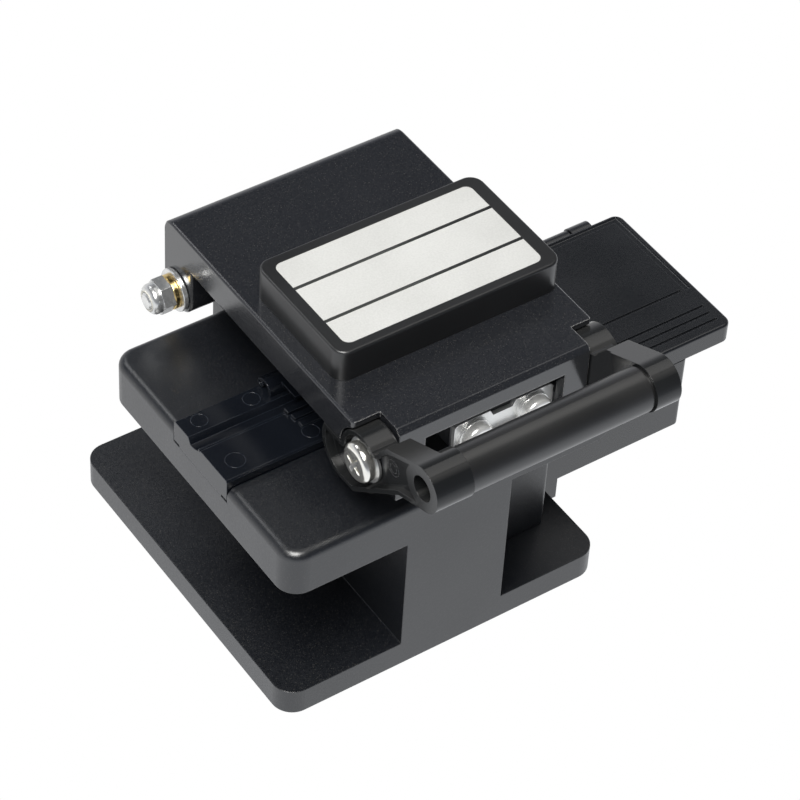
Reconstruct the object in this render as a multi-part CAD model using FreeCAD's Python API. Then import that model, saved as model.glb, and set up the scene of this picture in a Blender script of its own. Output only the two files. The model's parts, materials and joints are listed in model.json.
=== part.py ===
import FreeCAD, Part
import math
import os

# Fibre cleaver: a C-shaped metal body with a lid, a press lever on the lid's front corners,
# a blade carriage that slides below the deck, and a scrap box with a flip lid on its right.
#
# Millimetres. Sizes are laid out from the front left corner of the base (x right along the
# fibre, y to the rear hinge, z up) and every piece is moved, when it is written, so that the
# part's own origin is the middle of the base's underside.

V = FreeCAD.Vector
X, Y, Z = V(1, 0, 0), V(0, 1, 0), V(0, 0, 1)
FAR = 200.0                       # longer than anything here, for cuts that go right through

# --- base, column and platform -------------------------------------------------------------
BASE_W, BASE_D, BASE_T = 63.0, 65.0, 5.0
BASE_CORNER = 3.8
COLUMN_X0, COLUMN_X1, COLUMN_D = 22.5, 42.5, 50.0
DECK_Z0, DECK_Z1 = 28.8, 37.5     # underside and top of the platform
DECK_D = 54.5
DECK_ROUND, RIGHT_ROUND = 1.5, 1.8
PAD_INSET, PAD_T, PAD_CORNER = 5.0, 1.2, 3.0   # rubber sheet let into the underside

# --- right half of the platform, with the blade slot ----------------------------------------
RIGHT_DECK_X1 = 64.2
SETBACK = 3.0                     # the right half stands this far behind the base's front
SLOT_X0, SLOT_X1 = 44.9, 50.1
SLOT_Y0, SLOT_Y1 = 6.0, 50.0

# --- fibre line ------------------------------------------------------------------------------
FIBRE_Y, FIBRE_Z = 28.2, 38.6
BLADE_X = 47.4                    # where the fibre is scored

# --- adapter in its channel, left -------------------------------------------------------------
ADAPTER_L = 31.0
ADAPTER_Y0, ADAPTER_Y1 = 18.4, 34.3
CHANNEL_Z, ADAPTER_TOP = 34.5, 39.2

# --- rear hinge --------------------------------------------------------------------------------
HINGE_Y, HINGE_Z = 55.9, 44.2
LOBE_R, BARREL_R = 4.3, 4.0
SHAFT_R = 1.5                     # M3 shaft
LEDGE_Y1, LEDGE_Z1 = 58.5, 39.1   # the body's bracket behind the platform
RUNNING = 0.06                    # radial clearance of a running fit

# --- lid ---------------------------------------------------------------------------------------
LID_X0, LID_X1 = 13.8, 59.1
LID_Y0, LID_Y1 = -0.9, 60.2
LID_TOP, LID_T, LID_WALL = 57.0, 2.2, 2.0
LID_EDGE = 50.8                   # lower edge of the side bands
REAR_ROUND = 2.5
CHEEK_T = 8.2                     # width of the lid's two hinge legs
NOTCH_X0, NOTCH_X1, NOTCH_Y = 18.8, 55.0, 4.4
SKIRT_Z0 = 41.9
WINDOW_X0, WINDOW_X1, WINDOW_Z0, WINDOW_Z1 = 23.8, 50.4, 43.1, 53.2

# --- label cap on the lid ------------------------------------------------------------------------
CAP_X0, CAP_X1, CAP_Y0, CAP_Y1, CAP_TOP, CAP_CORNER = 16.5, 59.0, 12.6, 37.3, 63.0, 2.5
LABEL_X0, LABEL_X1, LABEL_Y0, LABEL_Y1 = 18.8, 56.4, 14.4, 35.4
LABEL_CORNER, LABEL_T = 1.4, 0.4

# --- press lever -----------------------------------------------------------------------------------
PIVOT_Y, PIVOT_Z = 2.1, 50.7
ARM_RISE = 27.4                   # degrees above level at rest
ARM_L = 18.1                      # pivot to bar
ARM_T = 4.4
HUB_R = 5.3
BAR_R, BAR_BOSS_R, BAR_HOLE_R = 3.8, 4.1, 2.2
COLLAR_L = 2.4
RIM = 0.8
RIGHT_ARM_X = 55.2
M4_R, M4_HEAD_R, M4_HEAD_H = 2.0, 3.4, 2.1

# --- blade carriage ----------------------------------------------------------------------------------
CARRIAGE_X0, CARRIAGE_X1 = 42.8, 58.4
CARRIAGE_Y0, CARRIAGE_Y1 = 9.8, 33.8      # at rest, between its front and rear stops
CARRIAGE_Z0, CARRIAGE_Z1 = 5.2, 28.3
GUIDE_D, GUIDE_Y0, GUIDE_Z0, GUIDE_Z1 = 2.9, 2.8, 12.0, 20.0   # groove in the column
GUIDE_WALL, GUIDE_PLAY = 1.4, 0.1
BLADE_R, BLADE_T = 8.0, 0.5
BLADE_Y = CARRIAGE_Y0 + 11.3      # blade axle at rest
BLADE_Z = FIBRE_Z - BLADE_R

# --- scrap box ------------------------------------------------------------------------------------------
BOX_X0, BOX_X1, BOX_Y0, BOX_Y1 = 63.1, 93.1, 17.1, 49.0
BOX_Z0, BOX_Z1, BOX_WALL, LEG_T = 4.8, 20.4, 1.5, 3.6
FLAP_X0, FLAP_X1, FLAP_Y1, FLAP_Z0, FLAP_Z1 = 65.2, 102.4, 50.4, 20.6, 24.4
FLAP_CORNER = 1.8
FLAP_HINGE_Y, FLAP_HINGE_Z, KNUCKLE_R, FLAP_PIN_R = 50.9, 22.4, 1.7, 0.75


# ============================== small helpers ==========================================
def box(x0, x1, y0, y1, z0, z1):
    return Part.makeBox(x1 - x0, y1 - y0, z1 - z0, V(x0, y0, z0))


def rod(r, start, axis, length):
    return Part.makeCylinder(r, length, start, axis)


def rod_x(r, x0, x1, y, z):
    return rod(r, V(x0, y, z), X, x1 - x0)


def rod_z(r, x, y, z0, z1):
    return rod(r, V(x, y, z0), Z, z1 - z0)


def tube_x(r_out, r_in, x0, x1, y, z):
    return rod_x(r_out, x0, x1, y, z).cut(rod_x(r_in, x0 - 1, x1 + 1, y, z))


def edges_where(shape, test):
    return [e for e in shape.Edges if test(e)]


def along(edge, axis):
    """True for a straight edge parallel to the axis."""
    if len(edge.Vertexes) != 2 or not isinstance(edge.Curve, Part.Line):
        return False
    d = edge.Vertexes[1].Point - edge.Vertexes[0].Point
    return d.cross(axis).Length < 1e-6 * d.Length


def at(edge, **places):
    """True where both ends of the edge have the given x, y or z."""
    for vertex in edge.Vertexes:
        for name, value in places.items():
            if abs(getattr(vertex.Point, name) - value) > 1e-4:
                return False
    return True


def round_block(x0, x1, y0, y1, z0, z1, corner):
    """A block with its four upright corners rounded."""
    block = box(x0, x1, y0, y1, z0, z1)
    return block.makeFillet(corner, edges_where(block, lambda e: along(e, Z)))


def prism_x(points, x0, x1):
    """A side profile of (y, z) points, drawn out along x."""
    wire = Part.makePolygon([V(x0, y, z) for y, z in points + points[:1]])
    return Part.Face(wire).extrude(X * (x1 - x0))


def hexagon_x(flats, x0, x1, y, z):
    r = flats / math.sqrt(3)
    corners = [(y + r * math.cos(math.radians(60 * k)), z + r * math.sin(math.radians(60 * k)))
               for k in range(6)]
    return prism_x(corners, x0, x1)


def mirrored(shape):
    """The same piece on the other side of the lid's middle plane."""
    return shape.mirror(V((LID_X0 + LID_X1) / 2, 0, 0), X)


def write(name, shape):
    shape = shape.removeSplitter() if shape.ShapeType != "Compound" else shape
    shape.translate(V(-BASE_W / 2, -BASE_D / 2, 0))
    shape.exportStep("parts/" + name + ".step")


# ============================== body ====================================================
def body_frame():
    base = round_block(0, BASE_W, 0, BASE_D, 0, BASE_T, BASE_CORNER)
    column = box(COLUMN_X0, COLUMN_X1, 0, COLUMN_D, BASE_T - 1, DECK_Z0 + 1)

    deck = box(0, COLUMN_X1, 0, DECK_D, DECK_Z0, DECK_Z1)
    deck = deck.makeFillet(BASE_CORNER, edges_where(deck, lambda e: along(e, Z) and at(e, x=0)))
    top_rim = edges_where(deck, lambda e: at(e, z=DECK_Z1) and not at(e, x=COLUMN_X1))
    deck = deck.makeFillet(DECK_ROUND, top_rim)

    body = base.fuse([column, deck, right_deck()] + hinge_bracket())
    body = body.cut(box(-1, ADAPTER_L + 0.3, ADAPTER_Y0 - 0.15, ADAPTER_Y1 + 0.15,
                        CHANNEL_Z, FAR))
    body = body.cut(rod_x(SHAFT_R + RUNNING, 0, BASE_W, HINGE_Y, HINGE_Z))
    body = body.cut(round_block(PAD_INSET, BASE_W - PAD_INSET, PAD_INSET, BASE_D - PAD_INSET,
                                -1, PAD_T, PAD_CORNER))
    for x in (LEFT_CLAMP_X, RIGHT_CLAMP_X):
        body = body.cut(clamp_seat(x))
    body = body.cut(rod_z(MAGNET_R, MAGNET_X, MAGNET_Y, DECK_Z1 - MAGNET_H, FAR))
    body = body.cut(box(COLUMN_X1 - GUIDE_D, COLUMN_X1 + 1, GUIDE_Y0, COLUMN_D + 1,
                        GUIDE_Z0, GUIDE_Z1))
    for y in BOX_SCREWS_Y:
        body = body.cut(rod_x(BOX_SCREW_R + 0.02, BASE_W - BOX_SCREW_REACH, FAR, y, BOX_SCREW_Z))
    return body


def hinge_bracket():
    """A ledge behind the deck, with a knuckle on it that stands between the lid's cheeks."""
    x0, x1 = LID_X0 + CHEEK_T + 0.3, LID_X1 - CHEEK_T - 0.3
    ledge = box(x0, x1, DECK_D - 1, LEDGE_Y1, DECK_Z0, LEDGE_Z1)
    ledge = ledge.makeChamfer(1.2, edges_where(
        ledge, lambda e: along(e, X) and at(e, y=LEDGE_Y1)))
    foot = box(x0, x1, HINGE_Y - BARREL_R, LEDGE_Y1 - 1.2, LEDGE_Z1 - 1, HINGE_Z)
    return [ledge, foot, rod_x(BARREL_R, x0, x1, HINGE_Y, HINGE_Z)]


def base_pad():
    return round_block(PAD_INSET, BASE_W - PAD_INSET, PAD_INSET, BASE_D - PAD_INSET,
                       0, PAD_T, PAD_CORNER)


def right_deck():
    deck = box(COLUMN_X1 - 1, RIGHT_DECK_X1, SETBACK, DECK_D, DECK_Z0, DECK_Z1)
    long_edges = edges_where(deck, lambda e: along(e, Y) and at(e, x=RIGHT_DECK_X1))
    deck = deck.makeFillet(RIGHT_ROUND, long_edges)
    slot = round_block(SLOT_X0, SLOT_X1, SLOT_Y0, SLOT_Y1, 0, FAR, 1.2)
    return deck.cut(slot)


# --- clamps: a metal seat with a rubber pad in the deck, and a sprung block in the lid -----
CLAMP_W, CLAMP_D = 8.4, 8.0
LEFT_CLAMP_X, RIGHT_CLAMP_X = 37.7, 54.7
SEAT_DEPTH, PAD_H = 4.0, 1.4
PAD_GAP = 0.2                     # a bare fibre lies between the pads
CLAMP_BLOCK_H, STEM_R, STEM_TOP = 3.8, 1.5, 53.6
GUIDE_Z = 51.4                    # lower end of the clamp's guide boss
UPPER_PAD_Z = FIBRE_Z + PAD_GAP


def clamp_seat(x, clearance=0.0):
    half_w, half_d = CLAMP_W / 2 - clearance, CLAMP_D / 2 - clearance
    return box(x - half_w, x + half_w, FIBRE_Y - half_d, FIBRE_Y + half_d,
               DECK_Z1 - SEAT_DEPTH, FAR)


def lower_clamp(x):
    return clamp_seat(x).common(box(0, FAR, 0, FAR, 0, FIBRE_Z - PAD_H))


def rubber_pad(x, z0):
    inset = 0.8
    return round_block(x - CLAMP_W / 2 + inset, x + CLAMP_W / 2 - inset,
                       FIBRE_Y - CLAMP_D / 2 + inset, FIBRE_Y + CLAMP_D / 2 - inset,
                       z0, z0 + PAD_H, 0.8)


def upper_clamp(x):
    z0 = UPPER_PAD_Z + PAD_H
    block = round_block(x - CLAMP_W / 2 + 0.4, x + CLAMP_W / 2 - 0.4,
                        FIBRE_Y - CLAMP_D / 2, FIBRE_Y + CLAMP_D / 2,
                        z0, z0 + CLAMP_BLOCK_H, 1.0)
    return block.fuse(rod_z(STEM_R, x, FIBRE_Y, z0, STEM_TOP))


def coil_spring(x, y, z0, z1, radius, wire_r, turns):
    """A compression spring drawn as one swept helix."""
    pitch = (z1 - z0 - 2 * wire_r) / turns
    helix = Part.makeHelix(pitch, pitch * turns, radius)
    profile = Part.Wire(Part.makeCircle(wire_r, V(radius, 0, 0), Y))
    spring = Part.Wire(helix.Edges).makePipeShell([profile], True, True)
    spring.translate(V(x, y, z0 + wire_r))
    return spring


def clamp_spring(x):
    z0 = UPPER_PAD_Z + PAD_H + CLAMP_BLOCK_H
    return coil_spring(x, FIBRE_Y, z0 + 0.05, GUIDE_Z - 0.05, 1.95, 0.25, 5)


# --- screws ------------------------------------------------------------------------------
M3_R, M3_HEAD_R, M3_HEAD_H = 1.5, 2.8, 2.0


CROSS_REACH, CROSS_TURN = 0.58, math.radians(25)   # share of the head's radius; its angle


def cross_recess(face, inward, reach, width, depth):
    """The four tapering slots of a cross-head drive; face is the middle of the head's top."""
    side = V(inward.y, inward.z, inward.x)
    side = side * math.cos(CROSS_TURN) + inward.cross(side) * math.sin(CROSS_TURN)
    blades = []
    for across in (side, inward.cross(side)):
        thick = inward.cross(across)
        rim = [face - inward * 0.1 + across * reach, face - inward * 0.1 - across * reach,
               face + inward * depth - across * width / 2,
               face + inward * depth + across * width / 2]
        blade = Part.Face(Part.makePolygon(rim + rim[:1])).extrude(thick * width)
        blade.translate(thick * (-width / 2))
        blades.append(blade)
    return blades[0].fuse(blades[1])


def pan_screw(start, axis, shank_r, length, head_r, head_h):
    """A cross-head pan screw: start is under the head, axis points along the shank."""
    head = rod(head_r, start, axis * -1, head_h)
    outer = edges_where(head, lambda e: isinstance(e.Curve, Part.Circle)
                        and (e.Curve.Center - start).Length > head_h / 2)
    head = head.makeFillet(head_h * 0.45, outer)
    screw = head.fuse(rod(shank_r, start, axis, length))
    return screw.cut(cross_recess(start - axis * head_h, axis, head_r * CROSS_REACH,
                                  head_r * 0.24, head_h * 0.75))


# --- lid magnet ----------------------------------------------------------------------------
MAGNET_X, MAGNET_Y, MAGNET_R, MAGNET_H = 26.0, 10.0, 3.0, 2.5


def lid_magnet():
    return rod_z(MAGNET_R, MAGNET_X, MAGNET_Y, DECK_Z1 - MAGNET_H, DECK_Z1)


def magnet_keeper():
    return rod_z(2.5, MAGNET_X, MAGNET_Y, DECK_Z1 + 0.3, LID_TOP - LID_T)


# --- adapter and its little fibre clamp ---------------------------------------------------
GROOVE_Y0, GROOVE_Y1, GROOVE_D = 26.9, 30.0, 1.2
STEPS_REAR_Y = (27.0, 25.4, 23.6)
STEPS_X0, STEP_D, STEP_H = 16.0, 1.25, 0.8
CLIP_X0, CLIP_L, CLIP_R, CLIP_WALL = 15.9, 10.3, 1.9, 0.5
CLIP_Y, CLIP_Z = 32.6, 39.6
CLIP_PIN_Y, CLIP_PIN_Z, CLIP_PIN_R, CLIP_KNUCKLE_R = 33.75, 40.15, 0.4, 0.8
POST_X0, POST_X1 = 26.5, 29.5


def fibre_adapter():
    body = box(0, ADAPTER_L, ADAPTER_Y0, ADAPTER_Y1, CHANNEL_Z, ADAPTER_TOP)
    sides = edges_where(body, lambda e: along(e, X) and at(e, z=ADAPTER_TOP))
    body = body.makeChamfer(0.3, sides)
    # relief along both lower corners, so that the block seats on its flat middle
    for y in (ADAPTER_Y0, ADAPTER_Y1):
        body = body.cut(box(-1, FAR, y - 1.6, y + 1.6, CHANNEL_Z - 1, CHANNEL_Z + 0.5))
    # the fibre's groove: a steep rear wall and a floor that curves up to the front
    top, low = ADAPTER_TOP, ADAPTER_TOP - GROOVE_D
    wall = Part.makePolygon([V(0, GROOVE_Y0, top + 1), V(0, GROOVE_Y1, top + 1),
                             V(0, GROOVE_Y1, top), V(0, GROOVE_Y1 - 0.7, low)])
    floor = Part.Arc(V(0, GROOVE_Y1 - 0.7, low), V(0, FIBRE_Y, low + 0.15),
                     V(0, GROOVE_Y0, top - 0.45)).toShape()
    front = Part.makeLine(V(0, GROOVE_Y0, top - 0.45), V(0, GROOVE_Y0, top + 1))
    groove = Part.Face(Part.Wire(wall.Edges + [floor, front])).extrude(X * FAR)
    groove.translate(X * -1)
    body = body.cut(groove).cut(box(-1, FAR, 26.35, 26.65, ADAPTER_TOP - 0.3, FAR))
    # three small steps guide the fibre in from the front
    for k, y1 in enumerate(STEPS_REAR_Y):
        step = box(STEPS_X0 + 0.3 * k, ADAPTER_L - 1, y1 - STEP_D, y1, ADAPTER_TOP - 1,
                   ADAPTER_TOP + STEP_H - 0.2 * k)
        body = body.fuse(step.makeFillet(0.2, edges_where(
            step, lambda e: at(e, x=step.BoundBox.XMin) or at(e, z=step.BoundBox.ZMax))))
    # a knuckle at the far end carries the clamp's pin
    post = box(POST_X0, POST_X1, CLIP_PIN_Y - 1.2, ADAPTER_Y1 - 0.3, ADAPTER_TOP - 1, CLIP_PIN_Z)
    lug = rod_x(1.0, POST_X0, POST_X1, CLIP_PIN_Y, CLIP_PIN_Z)
    return body.fuse([post, lug]).cut(rod_x(CLIP_PIN_R, CLIP_X0, FAR, CLIP_PIN_Y, CLIP_PIN_Z))


def fibre_clip():
    """A small curved flap that holds the fibre down in the groove."""
    x1 = CLIP_X0 + CLIP_L
    hood = tube_x(CLIP_R, CLIP_R - CLIP_WALL, CLIP_X0, x1, CLIP_Y, CLIP_Z)
    hood = hood.common(box(0, FAR, 0, CLIP_PIN_Y, ADAPTER_TOP + 0.15, FAR))
    knuckle = rod_x(CLIP_KNUCKLE_R, CLIP_X0, x1, CLIP_PIN_Y, CLIP_PIN_Z)
    tongue = box(CLIP_X0 + 2.5, x1, GROOVE_Y0 + 0.4, CLIP_Y - 0.6, ADAPTER_TOP + 1.2,
                 ADAPTER_TOP + 1.8)
    inside = rod_x(CLIP_R - CLIP_WALL, CLIP_X0 - 1, x1 + 1, CLIP_Y, CLIP_Z)
    flap = hood.fuse([knuckle, tongue.cut(inside)])
    return flap.cut(rod_x(CLIP_PIN_R + RUNNING, 0, FAR, CLIP_PIN_Y, CLIP_PIN_Z))


def clip_pin():
    return rod_x(CLIP_PIN_R, CLIP_X0 + 0.4, POST_X1, CLIP_PIN_Y, CLIP_PIN_Z)


# ============================== lid =====================================================
BOSS_L = 4.0                      # lever bosses behind the skirt
MOUNT_X0, MOUNT_X1, MOUNT_Y0, MOUNT_Y1, MOUNT_Z0 = 31.0, 48.4, 2.4, 9.0, 44.6
PLATE_SCREWS_X, PLATE_SCREW_Z, PLATE_SCREW_L = (34.9, 46.2), 46.4, 6.4


def lid_shell():
    inner_top = LID_TOP - LID_T
    top = box(LID_X0, LID_X1, LID_Y0, LID_Y1, inner_top, LID_TOP)
    bands = [box(LID_X0, LID_X0 + LID_WALL, PIVOT_Y, LID_Y1, LID_EDGE, inner_top + 1),
             box(LID_X1 - LID_WALL, LID_X1, PIVOT_Y, LID_Y1, LID_EDGE, inner_top + 1)]
    rear = box(LID_X0, LID_X1, LID_Y1 - LID_T, LID_Y1, HINGE_Z + 5.4, inner_top + 1)
    skirt = box(NOTCH_X0, NOTCH_X1, LID_Y0, LID_Y0 + LID_WALL, SKIRT_Z0, inner_top + 1)
    window = box(WINDOW_X0, WINDOW_X1, LID_Y0 - 1, LID_Y0 + LID_WALL + 0.3,
                 WINDOW_Z0, WINDOW_Z1)
    pieces = bands + [rear, skirt.cut(window)]
    for x in (LID_X0, LID_X1 - CHEEK_T):
        cheek = box(x, x + CHEEK_T, HINGE_Y - LOBE_R, LID_Y1, HINGE_Z, inner_top + 1)
        pieces += [cheek, rod_x(LOBE_R, x, x + CHEEK_T, HINGE_Y, HINGE_Z)]
    for x in (NOTCH_X0, NOTCH_X1 - BOSS_L):
        pieces.append(box(x, x + BOSS_L, LID_Y0 + LID_WALL - 0.5, PIVOT_Y + 4.5,
                          PIVOT_Z - 4.0, inner_top + 1))
    for x in (LEFT_CLAMP_X, RIGHT_CLAMP_X):
        pieces.append(rod_z(3.0, x, FIBRE_Y, GUIDE_Z, inner_top + 1))
    lid = top.fuse(pieces).removeSplitter()

    lid = lid.makeFillet(REAR_ROUND, edges_where(
        lid, lambda e: along(e, X) and at(e, y=LID_Y1, z=LID_TOP)))
    lid = lid.makeChamfer(0.85, edges_where(
        lid, lambda e: along(e, X) and at(e, y=LID_Y0, z=LID_TOP)))
    lid = lid.makeChamfer(0.3, edges_where(
        lid, lambda e: along(e, Y) and at(e, z=LID_TOP) and (at(e, x=LID_X0) or at(e, x=LID_X1))))

    for x0, x1 in ((LID_X0 - 1, NOTCH_X0), (NOTCH_X1, LID_X1 + 1)):
        lid = lid.cut(box(x0, x1, LID_Y0 - 1, NOTCH_Y, 0, FAR))
    lid = lid.makeFillet(0.7, edges_where(
        lid, lambda e: along(e, Z) and e.BoundBox.ZMax > LID_TOP - 1 and at(e, y=NOTCH_Y)
        and (at(e, x=LID_X0) or at(e, x=LID_X1))))
    for x0, x1 in ((LID_X0 - 1, NOTCH_X0), (NOTCH_X1, LID_X1 + 1)):
        lid = lid.cut(rod_x(HUB_R + 0.35, x0, x1, PIVOT_Y, PIVOT_Z))
    lid = lid.cut(rod_x(SHAFT_R + RUNNING, 0, FAR, HINGE_Y, HINGE_Z))
    lid = lid.cut(rod_x(M4_R - 0.3, NOTCH_X0 - 1, NOTCH_X1 + 1, PIVOT_Y, PIVOT_Z).common(
        Part.makeCompound([box(0, NOTCH_X0 + BOSS_L, -FAR, FAR, 0, FAR),
                           box(NOTCH_X1 - BOSS_L, FAR, -FAR, FAR, 0, FAR)])))
    for x in (LEFT_CLAMP_X, RIGHT_CLAMP_X):
        lid = lid.cut(rod_z(STEM_R + RUNNING, x, FIBRE_Y, 0, STEM_TOP + 0.9))
    return lid


def label_cap():
    cap = round_block(CAP_X0, CAP_X1, CAP_Y0, CAP_Y1, LID_TOP, CAP_TOP, CAP_CORNER)
    cap = cap.makeFillet(0.4, edges_where(cap, lambda e: at(e, z=CAP_TOP)))
    return cap.cut(label_block(LABEL_T, FAR))


def label_block(depth, height):
    return round_block(LABEL_X0, LABEL_X1, LABEL_Y0, LABEL_Y1, CAP_TOP - depth,
                       CAP_TOP - depth + height, LABEL_CORNER)


def label_plate():
    return label_block(LABEL_T, LABEL_T - 0.05)


def anvil_mount():
    mount = box(MOUNT_X0, MOUNT_X1, MOUNT_Y0, MOUNT_Y1, MOUNT_Z0, LID_TOP - LID_T)
    for x in PLATE_SCREWS_X:
        mount = mount.cut(rod(M3_R, V(x, 0, PLATE_SCREW_Z), Y, 7.5))
    return mount


def anvil_plate():
    """The bright plate behind the window: wide round each screw and necked between them."""
    end_half, neck_half, corner = 3.1, 1.9, 0.9
    x0, x1 = PLATE_SCREWS_X[0] - 3.6, PLATE_SCREWS_X[1] + 4.1
    plate = box(x0, x1, MOUNT_Y0 - 0.8, MOUNT_Y0, PLATE_SCREW_Z - end_half,
                PLATE_SCREW_Z + end_half)
    plate = plate.makeFillet(corner, edges_where(plate, lambda e: along(e, Y)))
    waist0, waist1 = PLATE_SCREWS_X[0] + 3.4, PLATE_SCREWS_X[1] - 3.4
    for sign in (1, -1):
        edge, deep = PLATE_SCREW_Z + sign * (end_half + 1), PLATE_SCREW_Z + sign * neck_half
        cutter = Part.makePolygon([V(waist0 - 0.8, 0, edge), V(waist0 + 0.4, 0, deep),
                                   V(waist1 - 0.4, 0, deep), V(waist1 + 0.8, 0, edge),
                                   V(waist0 - 0.8, 0, edge)])
        plate = plate.cut(Part.Face(cutter).extrude(Y * 10))
    for x in PLATE_SCREWS_X:
        plate = plate.cut(rod(M3_R + 0.1, V(x, 0, PLATE_SCREW_Z), Y, 10))
    return plate


SPRING_WASHER_T = 0.7


def plate_screws():
    seat_y = MOUNT_Y0 - 0.8 - SPRING_WASHER_T
    return Part.makeCompound([pan_screw(V(x, seat_y, PLATE_SCREW_Z), Y, M3_R, PLATE_SCREW_L,
                                        M3_HEAD_R, 1.8) for x in PLATE_SCREWS_X])


def spring_washers():
    """Two split lock washers under the plate's screws."""
    washers = []
    for x in PLATE_SCREWS_X:
        start = V(x, MOUNT_Y0 - 0.8 - SPRING_WASHER_T, PLATE_SCREW_Z)
        ring = rod(3.0, start, Y, SPRING_WASHER_T).cut(rod(M3_R + 0.05, start, Y, 5))
        split = box(x + 1, x + 4, 0, 5, PLATE_SCREW_Z - 0.2, PLATE_SCREW_Z + 0.2)
        washers.append(ring.cut(split))
    return Part.makeCompound(washers)


ANVIL_PIVOT_Y, ANVIL_ARM_Z0 = MOUNT_Y1 - 1.2, 42.6


def anvil_arm():
    """A thin arm below the mount that carries the anvil over the fibre."""
    arm = box(BLADE_X - 1.9, BLADE_X + 0.9, MOUNT_Y0 + 1, FIBRE_Y + 2.4,
              ANVIL_ARM_Z0, ANVIL_ARM_Z0 + 1.0)
    eye = rod_x(1.3, BLADE_X - 1.9, BLADE_X + 0.9, ANVIL_PIVOT_Y, ANVIL_ARM_Z0 + 0.5)
    arm = arm.fuse(eye)
    return arm.cut(rod_x(0.8 + RUNNING, 0, FAR, ANVIL_PIVOT_Y, ANVIL_ARM_Z0 + 0.5))


def anvil_pin():
    return rod_x(0.8, BLADE_X - 5.2, BLADE_X + 0.9, ANVIL_PIVOT_Y, ANVIL_ARM_Z0 + 0.5)


def anvil_bracket():
    """A lug on the mount that holds the anvil arm's pin."""
    lug = box(BLADE_X - 5.2, BLADE_X - 2.2, ANVIL_PIVOT_Y - 1.6, MOUNT_Y1,
              ANVIL_ARM_Z0 - 1.0, MOUNT_Z0)
    return lug.cut(rod_x(0.8, 0, FAR, ANVIL_PIVOT_Y, ANVIL_ARM_Z0 + 0.5))


def anvil_tip():
    tip = box(BLADE_X - 0.9, BLADE_X + 0.9, FIBRE_Y - 1.6, FIBRE_Y + 1.6,
              FIBRE_Z + 0.5, ANVIL_ARM_Z0)
    return tip.makeChamfer(0.5, edges_where(tip, lambda e: along(e, Y) and at(e, z=FIBRE_Z + 0.5)))


# ============================== rear hinge ===============================================
FLAT_RING_T, BRASS_T, NUT_L, NUT_DOME_L, RING_GAP = 0.9, 1.1, 3.8, 1.7, 0.06


def hinge_shaft():
    """A long M3 bolt through both cheeks: socket head on the right, nut on the left."""
    end_x = LID_X0 - RING_GAP - FLAT_RING_T - BRASS_T - NUT_L - 0.3
    shaft = rod_x(SHAFT_R, end_x, LID_X1 + 0.9, HINGE_Y, HINGE_Z)
    shaft = shaft.makeChamfer(0.3, edges_where(shaft, lambda e: at(e, x=end_x)))
    head = rod_x(2.75, LID_X1 + 0.9, LID_X1 + 3.9, HINGE_Y, HINGE_Z)
    socket = hexagon_x(2.5, LID_X1 + 2.4, FAR, HINGE_Y, HINGE_Z)
    return shaft.fuse(head).cut(socket)


def ring_on_shaft(outer, x0, x1):
    ring = tube_x(outer, SHAFT_R + 0.02, x0, x1, HINGE_Y, HINGE_Z)
    rims = edges_where(ring, lambda e: isinstance(e.Curve, Part.Circle) and e.Curve.Radius > 2)
    return ring.makeFillet(0.2, rims)


def hinge_flat_washers():
    left = ring_on_shaft(3.8, LID_X0 - RING_GAP - FLAT_RING_T, LID_X0 - RING_GAP)
    right = ring_on_shaft(3.5, LID_X1 + RING_GAP, LID_X1 + 0.86)
    return Part.makeCompound([left, right])


def hinge_brass_washer():
    x1 = LID_X0 - RING_GAP - FLAT_RING_T
    return ring_on_shaft(3.0, x1 - BRASS_T, x1)


def hinge_nut():
    """Lock nut: a hexagon with rounded corners and a domed collar for its nylon ring."""
    x1 = LID_X0 - RING_GAP - FLAT_RING_T - BRASS_T
    x0 = x1 - NUT_L
    hexagon = hexagon_x(5.5, x0 + NUT_DOME_L, x1, HINGE_Y, HINGE_Z)
    cone = Part.makeCone(2.75, 2.75 + NUT_L, NUT_L, V(x0 + NUT_DOME_L - 0.3, HINGE_Y, HINGE_Z), X)
    collar = rod_x(2.7, x0, x0 + NUT_DOME_L + 0.1, HINGE_Y, HINGE_Z)
    collar = collar.makeFillet(1.1, edges_where(collar, lambda e: at(e, x=x0)))
    return hexagon.common(cone).fuse(collar).cut(
        rod_x(SHAFT_R + 0.02, 0, FAR, HINGE_Y, HINGE_Z))


# ============================== press lever ==============================================
def lever_point(u, v):
    """From the arm's own axes (u from pivot to bar, v across it, upwards) to (y, z)."""
    c, s = math.cos(math.radians(ARM_RISE)), math.sin(math.radians(ARM_RISE))
    return PIVOT_Y - u * c + v * s, PIVOT_Z + u * s + v * c


BAR_Y, BAR_Z = lever_point(ARM_L, 0)
STEP_U = 5.6                      # the web is deeper on the hub's side of this line
HUB_FLOOR, WEB_FLOOR = 1.5, 1.0   # depths of the web below the arm's outer face
INNER_PAD_U, INNER_PAD_T = 11.0, 0.3
RIGHT_ARM_OUT, BOSS_X1, BORE_R, BORE_FLOOR_X = 0.4, 60.3, 4.2, 58.3


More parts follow.
